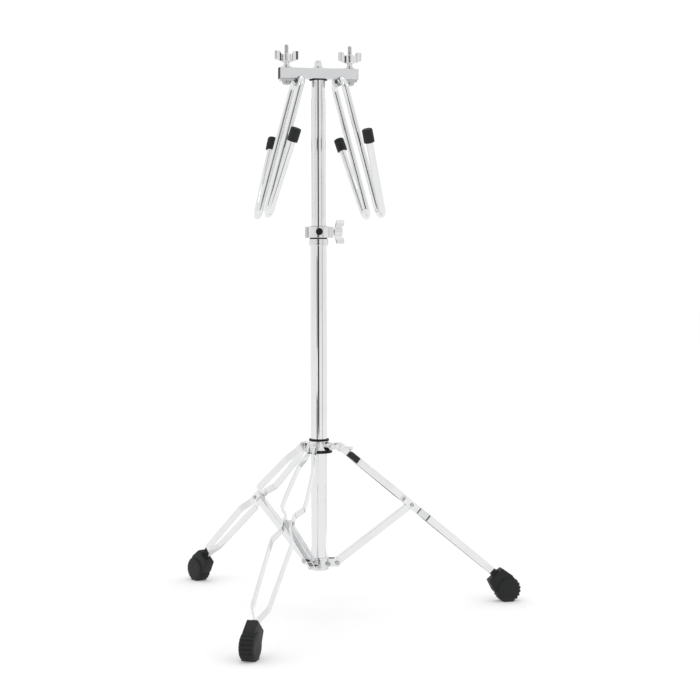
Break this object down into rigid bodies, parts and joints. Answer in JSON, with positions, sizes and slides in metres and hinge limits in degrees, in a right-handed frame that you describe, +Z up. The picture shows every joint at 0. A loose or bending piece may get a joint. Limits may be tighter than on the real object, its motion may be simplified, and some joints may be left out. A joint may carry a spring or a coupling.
{
  "type": "drum cradle stand",
  "caption": "Folding double-braced tripod stand with a height-adjustable column and a head bar that carries hinged, rubber-tipped rod arms for cradling a drum.",
  "frame": {"origin": "on the column axis at floor level, in the plane of the undersides of the three feet", "axes": "+Z up the column; +X along the head bar and outward along leg 1; legs 2 and 3 at 120 and 240 degrees"},
  "size_m": [0.5601, 0.6468, 0.973],
  "materials": {
    "chrome_tube": "polished chrome plate",
    "chrome_strip": "polished chrome plate",
    "chrome_stamping": "chrome plate on a pressing",
    "chrome_casting": "chrome plate on a casting",
    "chrome_hardware": "bright plate",
    "chrome_rod": "polished chrome plate",
    "dark_steel": "zinc plate",
    "black_nylon": "matt black",
    "black_rubber": "moulded black rubber"
  },
  "bodies": {
    "base": {"base_tube": "chrome_tube", "lower_bracket": "chrome_stamping", "bracket_screw": "dark_steel", "bracket_rivet_1": "chrome_hardware", "bracket_rivet_2": "chrome_hardware", "bracket_rivet_3": "chrome_hardware", "height_clamp": "chrome_casting", "clamp_bushing": "black_nylon", "clamp_bolt": "chrome_hardware", "clamp_washer": "chrome_hardware"},
    "clamp_nut": {"clamp_wing_nut": "chrome_hardware"},
    "collar": {"tripod_collar": "chrome_casting", "collar_top_ring": "black_nylon", "collar_bottom_ring": "black_nylon", "collar_rivet_1": "chrome_hardware", "collar_rivet_2": "chrome_hardware", "collar_rivet_3": "chrome_hardware"},
    "collar_screw": {"collar_wing_screw": "chrome_hardware"},
    "leg_1": {"leg_strip_1_left": "chrome_strip", "leg_strip_1_right": "chrome_strip", "pinch_rivets_1": "chrome_hardware", "foot_1": "black_rubber"},
    "brace_1": {"brace_1": "chrome_strip"},
    "leg_2": {"leg_strip_2_left": "chrome_strip", "leg_strip_2_right": "chrome_strip", "pinch_rivets_2": "chrome_hardware", "foot_2": "black_rubber"},
    "brace_2": {"brace_2": "chrome_strip"},
    "leg_3": {"leg_strip_3_left": "chrome_strip", "leg_strip_3_right": "chrome_strip", "pinch_rivets_3": "chrome_hardware", "foot_3": "black_rubber"},
    "brace_3": {"brace_3": "chrome_strip"},
    "mast": {"upper_tube": "chrome_tube"},
    "head": {"head_spigot": "chrome_tube", "spigot_washer": "black_nylon", "head_bar": "chrome_tube", "bar_plug_left": "black_nylon", "bar_plug_right": "black_nylon", "centre_nut": "chrome_hardware", "clamp_plate_left": "chrome_stamping", "clamp_plate_right": "chrome_stamping", "bar_bolt_left": "chrome_hardware", "bar_bolt_right": "chrome_hardware", "bar_washer_left": "chrome_hardware", "bar_washer_right": "chrome_hardware"},
    "nut_left": {"wing_nut_left": "chrome_hardware"},
    "nut_right": {"wing_nut_right": "chrome_hardware"},
    "left_arm": {"arm_left": "chrome_rod", "tip_left_front": "black_rubber", "tip_left_back": "black_rubber"},
    "right_arm": {"arm_right": "chrome_rod", "tip_right_front": "black_rubber", "tip_right_back": "black_rubber"}
  },
  "joints": [
    {"name": "collar_slide", "type": "slide", "parent": "base", "child": "collar", "axis": [0, 0, 1], "range_m": [0, 0.126]},
    {"name": "collar_screw_turn", "type": "hinge", "parent": "collar", "child": "collar_screw", "pos_m": [0.02771, -0.03546, 0.289], "axis": [0.6157, -0.788, 0], "continuous": true},
    {"name": "leg_1_hinge", "type": "hinge", "parent": "collar", "child": "leg_1", "pos_m": [0.036, 0, 0.287], "axis": [0, 1, 0], "range_deg": [0, 43.6]},
    {"name": "brace_1_hinge", "type": "hinge", "parent": "base", "child": "brace_1", "pos_m": [0.03, 0, 0.084], "axis": [0, -1, 0], "range_deg": [0, 45.6]},
    {"name": "leg_2_hinge", "type": "hinge", "parent": "collar", "child": "leg_2", "pos_m": [-0.018, 0.03118, 0.287], "axis": [-0.866, -0.5, 0], "range_deg": [0, 43.6]},
    {"name": "brace_2_hinge", "type": "hinge", "parent": "base", "child": "brace_2", "pos_m": [-0.015, 0.02598, 0.084], "axis": [0.866, 0.5, 0], "range_deg": [0, 45.6]},
    {"name": "leg_3_hinge", "type": "hinge", "parent": "collar", "child": "leg_3", "pos_m": [-0.018, -0.03118, 0.287], "axis": [0.866, -0.5, 0], "range_deg": [0, 43.6]},
    {"name": "brace_3_hinge", "type": "hinge", "parent": "base", "child": "brace_3", "pos_m": [-0.015, -0.02598, 0.084], "axis": [-0.866, 0.5, 0], "range_deg": [0, 45.6]},
    {"name": "clamp_nut_turn", "type": "hinge", "parent": "base", "child": "clamp_nut", "pos_m": [0.03693, 0.0136, 0.657], "axis": [0.9925, -0.1219, 0], "continuous": true},
    {"name": "height_slide", "type": "slide", "parent": "base", "child": "mast", "axis": [0, 0, 1], "range_m": [-0.15, 0.17]},
    {"name": "head_swivel", "type": "hinge", "parent": "mast", "child": "head", "pos_m": [0, 0, 0.882], "axis": [0, 0, 1], "continuous": true},
    {"name": "nut_left_turn", "type": "hinge", "parent": "head", "child": "nut_left", "pos_m": [-0.055, 0, 0.95], "axis": [0, 0, 1], "continuous": true},
    {"name": "nut_right_turn", "type": "hinge", "parent": "head", "child": "nut_right", "pos_m": [0.055, 0, 0.95], "axis": [0, 0, 1], "continuous": true},
    {"name": "left_arm_swing", "type": "hinge", "parent": "head", "child": "left_arm", "pos_m": [-0.035, 0, 0.9135], "axis": [0, 1, 0], "range_deg": [-2, 105]},
    {"name": "right_arm_swing", "type": "hinge", "parent": "head", "child": "right_arm", "pos_m": [0.035, 0, 0.9135], "axis": [0, -1, 0], "range_deg": [-2, 105]}
  ],
  "couplings": [
    {"joint": "leg_1_hinge", "follows": "collar_slide", "rad_per_m": 6.0228},
    {"joint": "brace_1_hinge", "follows": "collar_slide", "rad_per_m": 6.3053},
    {"joint": "leg_2_hinge", "follows": "collar_slide", "rad_per_m": 6.0228},
    {"joint": "brace_2_hinge", "follows": "collar_slide", "rad_per_m": 6.3053},
    {"joint": "leg_3_hinge", "follows": "collar_slide", "rad_per_m": 6.0228},
    {"joint": "brace_3_hinge", "follows": "collar_slide", "rad_per_m": 6.3053}
  ]
}
